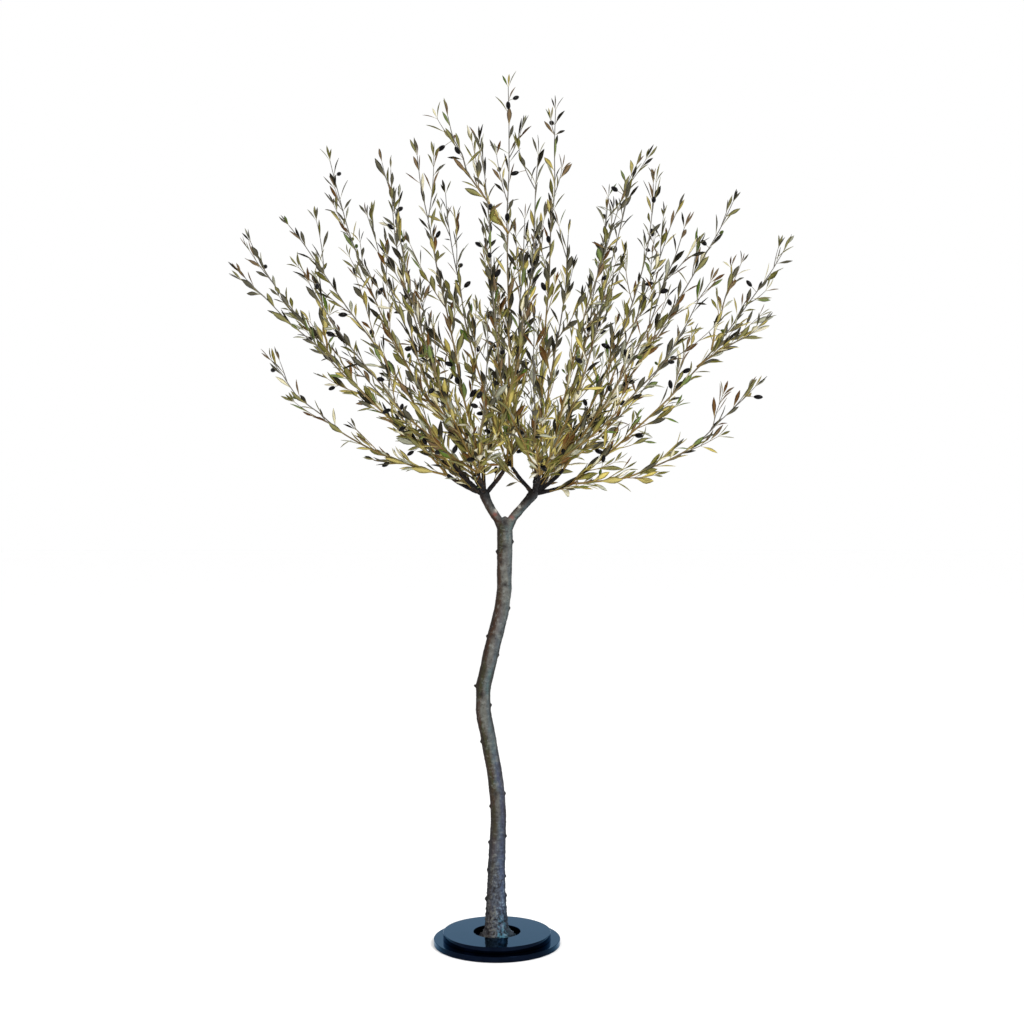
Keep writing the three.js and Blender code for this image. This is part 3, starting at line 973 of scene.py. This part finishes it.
class Growth:
    """Stems, leaves and olives as a seeded rule grows them from the foliage masses' shoots."""

    def __init__(self, settings):
        self.settings = settings
        self.random = np.random.default_rng(settings.seed)
        self.stems = []
        self.leaves = {tone: [] for tone in TONES}
        self.olives = {"ripe": [], "green": []}
        for name in FOLIAGE_NODES:
            limb = "_".join(name.split("_")[1:3])
            self.grow_shoot(*shoot_line(name), TWIG_ROOM[limb])
        for name in LIMB_NODES:
            self.grow_limb_twigs(*limb_sections(name))

    def spread(self, middle, part):
        return middle * self.random.uniform(1 - part, 1 + part)

    def between(self, low, high):
        return self.random.uniform(low, high)

    def sideways(self, onward, bearing):
        """A direction square to onward, at a bearing about it."""
        across = unit(np.cross(onward, WORLD_UP if abs(onward[2]) < 0.95 else [1.0, 0.0, 0.0]))
        return turned(across, np.cross(onward, across), bearing)

    def pick_tone(self, rim, count=len(TONES)):
        chances = (np.array(INNER_TONES) * (1 - rim) + np.array(OUTER_TONES) * rim)[:count]
        return self.random.choice(TONES[:count], p=chances / chances.sum())

    def add_leaf(self, base, onward, bearing, angle, tone, rim, young=False):
        """A leaf: broad and close to its stem or slim and wide of it, rolled about its midrib by chance."""
        settings = self.settings
        broad = not young and self.random.random() < 0.58 - 0.38 * rim
        if self.random.random() > 0.35:
            tone = self.pick_tone(rim)
        length = self.spread(settings.leaf_length, 0.2)
        width = self.spread(settings.leaf_width, 0.2)
        if broad:
            length *= 1.25 - 0.2 * rim
            width = self.spread(settings.broad_leaf, 0.25) * (1 - 0.15 * rim)
            angle *= 0.6
        if young:
            length *= 0.8
            width *= 0.75
        radial = self.sideways(onward, bearing)
        heading = unit(turned(onward, radial, angle))
        upper = unit(math.sin(angle) * onward - math.cos(angle) * radial)
        twist = self.random.normal(0, 0.8)
        upper = unit(turned(upper, np.cross(heading, upper), twist))
        bend = self.random.normal(0.03, 0.09)
        # shade: where the leaf's colour lies between its painted-shade and painted-light copies, by chance
        # and lower at the crown's rim
        shade = self.between(0.5, 1.0) * (1 - 0.82 * rim)
        self.leaves[tone].append(np.concatenate([base, heading, upper, [length, width, bend, shade]]))

    def add_olive(self, base, onward, bearing):
        """An olive on a short stalk of its own."""
        heading = unit(onward * self.between(0.4, 1.0) + self.sideways(onward, bearing))
        droop = unit(heading + self.between(-0.5, 0.2) * WORLD_UP)
        end = base + self.between(0.012, 0.024) * droop
        self.stems.append((np.array([base, (base + end) / 2 + 0.001 * heading, end]), 0.0008, 0.0007, 0.5))
        green = self.random.random() < 0.13
        length = 0.0255 * self.between(0.88, 1.1) * (0.75 if green else 1)
        self.olives["green" if green else "ripe"].append(np.concatenate([end, droop, [length]]))

    def add_tip(self, base, onward, tone, rim):
        """Ends a twig in one slim young leaf straight on and a pair that stands open beside it."""
        bearing = self.between(0, math.tau)
        self.add_leaf(base, onward, bearing, self.between(0.02, 0.15), tone, rim, True)
        for turn in (0, math.pi):
            self.add_leaf(base, onward, bearing + turn, self.between(0.3, 0.65), tone, rim, True)

    def dress(self, line, bare, root_rim, tip_rim):
        """Puts leaves and olives along a stem, in places that wind round it, and a fan at its tip."""
        settings = self.settings
        points, spots = resample(line, LEAF_GRID)
        headings = np.gradient(points, axis=0)
        spot = bare
        bearing = self.between(0, math.tau)
        tone = self.pick_tone(root_rim, SPRAY_TONES)
        spray_end = spot
        while spot < spots[-1] - BARE_TIP:
            rim = np.interp(spot / spots[-1], (0, 1), (root_rim, tip_rim))
            if spot > spray_end:
                tone = self.pick_tone(rim, SPRAY_TONES)
                spray_end = spot + self.between(0.06, 0.12)
            index = np.searchsorted(spots, spot)
            base, onward = points[index], unit(headings[index])
            bearing += math.radians(self.random.normal(GOLDEN_ANGLE, 20))
            pair = 2 if self.random.random() < 0.5 - 0.25 * rim else 1
            for i in range(pair):
                close = self.random.random() < 0.87
                angle = math.radians(self.between(14, 42) if close else self.between(42, 70))
                self.add_leaf(base, onward, bearing + i * math.pi, angle, tone, rim)
            if self.random.random() < settings.olive_share * (0.8 + 0.8 * rim):
                self.add_olive(base, onward, bearing + 0.5 * math.pi)
            spot += self.spread(np.interp(rim, (0, 1), (settings.inner_step, settings.outer_step)), 0.3)
        self.add_tip(points[-1], unit(headings[-1]), tone, tip_rim)

    def add_twig(self, base, onward, bearing, length, rim):
        """A leafy twig that leaves its stem at an angle and bends back towards the stem's direction."""
        angle = math.radians(self.between(18, 38))
        outward = unit(turned(onward, self.sideways(onward, bearing), angle))
        end = unit(outward + 0.8 * onward + 0.25 * WORLD_UP)
        shares = np.linspace(0, 1, 9)[:, None]
        line = base + length * (shares * (1 - shares / 2) * outward + shares**2 / 2 * end)
        self.stems.append((line, 0.0016, 0.0008, rim))
        self.dress(line, 0.02, rim, min(1.0, rim + 0.25))

    def grow_shoot(self, line, radii, room_between):
        """A shoot along the line, which wavers a little, and its twigs, which keep within the mass."""
        settings = self.settings
        places = np.linspace(0, 1, 9)
        waver = self.random.normal(0, 0.0035, (9, 3))
        waver[[0, -1]] = 0
        spread = np.linspace(0, 1, len(line))
        line = line + np.stack([np.interp(spread, places, side) for side in waver.T], axis=1)
        points, spots = resample(line, 0.012)
        length = spots[-1]
        short = spots < length - 0.6 * settings.leaf_length
        points, spots = points[short], spots[short]
        self.stems.append((points, settings.stem_radius, 0.0011, 1.0))
        self.dress(points, self.spread(0.02, 0.5), 0.0, 1.0)
        headings = np.gradient(points, axis=0)
        bearing = self.between(0, math.tau)
        spot = self.spread(0.06, 0.5)
        while spot < spots[-1] - 0.05:
            index = np.searchsorted(spots, spot)
            along = spot / length
            room = min(1.2, np.interp(along, np.linspace(0.2, 0.95, len(radii)), radii) / 0.04)
            reach = min(self.spread(settings.twig_length, 0.55) * room, 0.85 * (length - spot))
            bearing += math.radians(self.random.normal(GOLDEN_ANGLE, 25))
            if reach > SHORTEST_TWIG:
                self.add_twig(points[index], unit(headings[index]), bearing, reach, along)
            thinning = 0.5 + 1.1 * along + 1.9 * along**6
            spot += self.spread(settings.twig_step * room_between * thinning, 0.35)

    def grow_limb_twigs(self, centres, radii):
        """Short leafy twigs from a limb, which hide where the shoots begin."""
        points, spots = resample(centres, LEAF_GRID)
        headings = np.gradient(points, axis=0)
        spot = 0.3 * spots[-1]
        while spot < spots[-1]:
            index = np.searchsorted(spots, spot)
            length = self.spread(0.07, 0.4)
            self.add_twig(points[index], unit(headings[index]), self.between(0, math.tau), length, 0.2)
            spot += self.spread(0.029, 0.4)


@lru_cache
def growth():
    return Growth(bpy.context.scene.olive_crown)


def mesh_piece(name, points, faces):
    """A new piece from an array of points and a list of faces."""
    mesh = bpy.data.meshes.new(name)
    mesh.from_pydata(points.tolist(), [], faces)
    piece = bpy.data.objects.new(name, mesh)
    bpy.context.scene.collection.objects.link(piece)
    mesh.shade_smooth()
    return piece


def circles(onward, aside, sides):
    """A circle of points square to each of many directions, all begun on the side that aside gives."""
    across = np.cross(onward, aside)
    across /= np.linalg.norm(across, axis=1)[:, None]
    turns = np.linspace(0, math.tau, sides, endpoint=False)[None, :, None]
    return np.cos(turns) * across[:, None] + np.sin(turns) * np.cross(onward, across)[:, None]


def tube_walls(rings, sides):
    """The faces between a tube's rings of points, as rows of four corner numbers."""
    rows = np.arange(rings - 1)[:, None] * sides
    here = np.arange(sides)
    there = (here + 1) % sides
    corners = [rows + here, rows + there, rows + sides + there, rows + sides + here]
    return np.stack(corners, axis=-1).reshape(-1, 4)


THICKEST_TWIG = 0.002  # a stem with a thicker root than this is a shoot


def tubes(stems, sides):
    """Tapering closed tubes along many lines: points, faces and how near the crown's rim each point is."""
    points, faces, rims, total = [], [], [], 0
    here = np.arange(sides)
    for line, root, tip, rim in stems:
        onward = np.gradient(line, axis=0)
        onward /= np.linalg.norm(onward, axis=1)[:, None]
        radii = np.linspace(root, tip, len(line))[:, None, None]
        rings = circles(onward, [0.31, 0.95, 0.05], sides)
        points.append((line[:, None] + radii * rings).reshape(-1, 3))
        start = 0 if root > THICKEST_TWIG else rim
        rims.append(np.repeat(np.linspace(start, rim, len(line)), sides))
        faces += (total + tube_walls(len(line), sides)).tolist()
        faces.append((total + here[::-1]).tolist())
        total += len(line) * sides
        faces.append((total - sides + here).tolist())
    return np.concatenate(points), faces, np.concatenate(rims)


class OLIVE_OT_stems(Operator):
    """Grow the shoots, twigs and stalks"""

    bl_idname = "olive.stems"
    bl_label = "Shoots and twigs"

    def execute(self, context):
        points, faces, rims = tubes(growth().stems, 5)
        piece = mesh_piece("shoots", points, faces)
        write_attribute(piece.data, "rim", rims)
        finish_piece(piece, "shoots", stem_finish(), [])
        return {"FINISHED"}


# A leaf's outline: how wide it is at shares of its length, and how high its back stands off its face.
LEAF_PLACES = np.array([0.0, 0.14, 0.30, 0.48, 0.65, 0.84, 1.0])
LEAF_WIDTHS = np.array([0.10, 0.13, 0.46, 0.88, 1.0, 0.62, 0.05])
LEAF_CUP = 0.20  # how far the edges stand above the midrib, as a share of the width
LEAF_THICKNESS = 0.0007
LEAF_COLUMNS = 4  # left edge, face's midrib, right edge and back's midrib
LEAF_ASIDE = np.array([-0.5, 0.0, 0.5, 0.0])
LEAF_SUNK = np.array([0.0, 0.0, 0.0, 1.0])


def leaf_faces():
    """One leaf's faces as rows of four corner numbers, and which of them are its back."""
    ring = np.arange(LEAF_COLUMNS)
    caps = [ring[::-1], ring + (len(LEAF_PLACES) - 1) * LEAF_COLUMNS]
    backs = np.concatenate([np.tile(ring >= 2, len(LEAF_PLACES) - 1), [False, False]])
    return np.concatenate([tube_walls(len(LEAF_PLACES), LEAF_COLUMNS), caps]), backs


def leaf_points(leaves):
    table = np.array(leaves)
    base, heading, upper = table[:, 0:3], table[:, 3:6], table[:, 6:9]
    length, width, bend = (table[:, column, None, None] for column in (9, 10, 11))
    across = np.cross(heading, upper)
    places = LEAF_PLACES[None, :, None]
    along = places * length * np.ones_like(LEAF_ASIDE)
    aside = LEAF_ASIDE * LEAF_WIDTHS[None, :, None] * width
    lift = LEAF_CUP * 2 * np.abs(aside) - bend * places**2 * length - LEAF_SUNK * LEAF_THICKNESS
    directions = (heading, across, upper)
    steps = (along, aside, lift)
    spread = sum(step[..., None] * way[:, None, None] for step, way in zip(steps, directions))
    return (base[:, None, None] + spread).reshape(-1, 3)


def leaf_piece(name, colour, leaves, nodes):
    one_leaf, backs = leaf_faces()
    each = len(LEAF_PLACES) * LEAF_COLUMNS
    faces = (np.arange(len(leaves))[:, None, None] * each + one_leaf).reshape(-1, 4)
    piece = mesh_piece(name, leaf_points(leaves), faces.tolist())
    layer = piece.data.uv_layers.new(name="leaf")
    across = 2 * np.abs(np.tile(LEAF_ASIDE, len(LEAF_PLACES)))
    along = np.repeat(LEAF_PLACES, LEAF_COLUMNS)
    one_map = np.stack([across, along], axis=1)[one_leaf.reshape(-1)]
    layer.data.foreach_set("uv", np.tile(one_map, (len(leaves), 1)).astype(np.float32).reshape(-1))
    write_attribute(piece.data, "shade", np.repeat(np.array(leaves)[:, 12], each))
    write_attribute(piece.data, "back", np.tile(backs, len(leaves)), "FACE")
    finish_piece(piece, name, leaf_finish(name.replace("_", " "), tuple(colour)), nodes)


class OLIVE_OT_leaves(Operator):
    """Grow the leaves, one piece for each colour"""

    bl_idname = "olive.leaves"
    bl_label = "Leaves"

    def execute(self, context):
        colours = context.scene.olive_leaf_colours
        for tone in TONES:
            nodes = FOLIAGE_NODES if tone == "olive" else []
            leaf_piece(f"leaves_{tone}", getattr(colours, tone), growth().leaves[tone], nodes)
        return {"FINISHED"}


# An olive's outline from stalk to tip: how far along it is and how wide, as shares of its length.
OLIVE_PLACES = np.array([0.0, 0.04, 0.16, 0.34, 0.55, 0.75, 0.9, 0.975, 1.0])
OLIVE_WIDTHS = np.array([0.02, 0.09, 0.18, 0.240, 0.250, 0.21, 0.130, 0.05, 0.005])
OLIVE_SIDES = 10


def olive_arrays(olives):
    table = np.array(olives)
    base, heading, length = table[:, 0:3], table[:, 3:6], table[:, 6]
    rings = circles(heading, [0.2, 0.4, 0.9], OLIVE_SIDES)
    points = base[:, None, None] + length[:, None, None, None] * (
        OLIVE_PLACES[None, :, None, None] * heading[:, None, None]
        + OLIVE_WIDTHS[None, :, None, None] * rings[:, None]
    )
    each = len(OLIVE_PLACES) * OLIVE_SIDES
    starts = np.arange(len(table))[:, None] * each
    walls = starts[..., None] + tube_walls(len(OLIVE_PLACES), OLIVE_SIDES)
    here = np.arange(OLIVE_SIDES)
    ends = np.concatenate([starts + here[::-1], starts + each - OLIVE_SIDES + here])
    return points.reshape(-1, 3), walls.reshape(-1, 4).tolist() + ends.tolist()


class OLIVE_OT_olives(Operator):
    """Grow the ripe and the green olives"""

    bl_idname = "olive.olives"
    bl_label = "Olives"

    def execute(self, context):
        for kind, ripe, bloom in (
            ("ripe", srgb(5, 4, 5), srgb(12, 9, 9)),
            ("green", srgb(62, 76, 26), srgb(88, 90, 38)),
        ):
            name = f"olives_{kind}"
            piece = mesh_piece(name, *olive_arrays(growth().olives[kind]))
            finish_piece(piece, name, olive_finish(f"{kind} olive skin", ripe, bloom), [])
        return {"FINISHED"}


# ---- studio --------------------------------------------------------------------------------------


def add_softbox(name, location, target, width, power):
    lamp = bpy.data.lights.new(name, "AREA")
    lamp.shape = "DISK"
    lamp.size = width
    lamp.energy = power
    softbox = bpy.data.objects.new(name, lamp)
    softbox.location = location
    softbox.rotation_euler = (Vector(target) - Vector(location)).to_track_quat("-Z", "Y").to_euler()
    bpy.context.scene.collection.objects.link(softbox)


def floor_finish(colour):
    return Sheet("pale floor", Roughness=0.9, Specular_IOR_Level=0.1, Base_Color=tuple(colour)).material


class OLIVE_OT_studio(Operator):
    """Lay out the pale floor, the soft lights and the camera"""

    bl_idname = "olive.studio"
    bl_label = "Studio"

    def execute(self, context):
        studio = context.scene.olive_studio
        floor = add_primitive("plane", size=80, location=(0, 0, -0.0005))
        floor.name = "floor"
        floor.data.materials.append(floor_finish(studio.floor))
        world = bpy.data.worlds.new("soft light")
        world.use_nodes = True
        world.node_tree.nodes["Background"].inputs["Color"].default_value = (*studio.backdrop, 1)
        world.node_tree.nodes["Background"].inputs["Strength"].default_value = 1.0
        context.scene.world = world
        middle = (0, 0, 1.3)
        add_softbox("key light", (2.2, -3.2, 3.6), middle, 1.6, 130)
        add_softbox("fill light", (-3.2, -1.8, 2.2), middle, 2.6, 20)
        context.scene.view_settings.view_transform = "Standard"
        camera = bpy.data.objects.new("camera", bpy.data.cameras.new("camera"))
        camera.data.lens = studio.lens
        camera.data.sensor_width = 36
        camera.location = (studio.sideways, -studio.distance, studio.eye_level)
        camera.rotation_euler = Euler((math.pi / 2, 0, 0))
        context.scene.collection.objects.link(camera)
        context.scene.camera = camera
        return {"FINISHED"}


# ---- the add-on ----------------------------------------------------------------------------------

PIECES = (
    OLIVE_OT_studio,
    OLIVE_OT_stand_plate,
    OLIVE_OT_stand_ring,
    OLIVE_OT_bark,
    OLIVE_OT_limbs,
    OLIVE_OT_stems,
    OLIVE_OT_leaves,
    OLIVE_OT_olives,
)
SETTINGS = {
    "olive_stand": StandSettings,
    "olive_bark": BarkSettings,
    "olive_crown": CrownSettings,
    "olive_leaf_colours": LeafColours,
    "olive_studio": StudioSettings,
}


class OLIVE_PT_panel(Panel):
    """Lists the tree's pieces and settings"""

    bl_label = "Olive Tree"
    bl_idname = "OLIVE_PT_panel"
    bl_space_type = "VIEW_3D"
    bl_region_type = "UI"
    bl_category = "Olive Tree"

    def draw(self, context):
        for piece in PIECES:
            self.layout.operator(piece.bl_idname)
        for name, group in SETTINGS.items():
            box = self.layout.box()
            for key in group.__annotations__:
                box.prop(getattr(context.scene, name), key)


def register():
    for kind in (*SETTINGS.values(), *PIECES, OLIVE_PT_panel):
        bpy.utils.register_class(kind)
    for name, group in SETTINGS.items():
        setattr(bpy.types.Scene, name, PointerProperty(type=group))


def unregister():
    for name in SETTINGS:
        delattr(bpy.types.Scene, name)
    for kind in reversed((*SETTINGS.values(), *PIECES, OLIVE_PT_panel)):
        bpy.utils.unregister_class(kind)


def main():
    register()
    for piece in PIECES:
        group, name = piece.bl_idname.split(".")
        getattr(getattr(bpy.ops, group), name)()


if __name__ == "__main__":
    main()
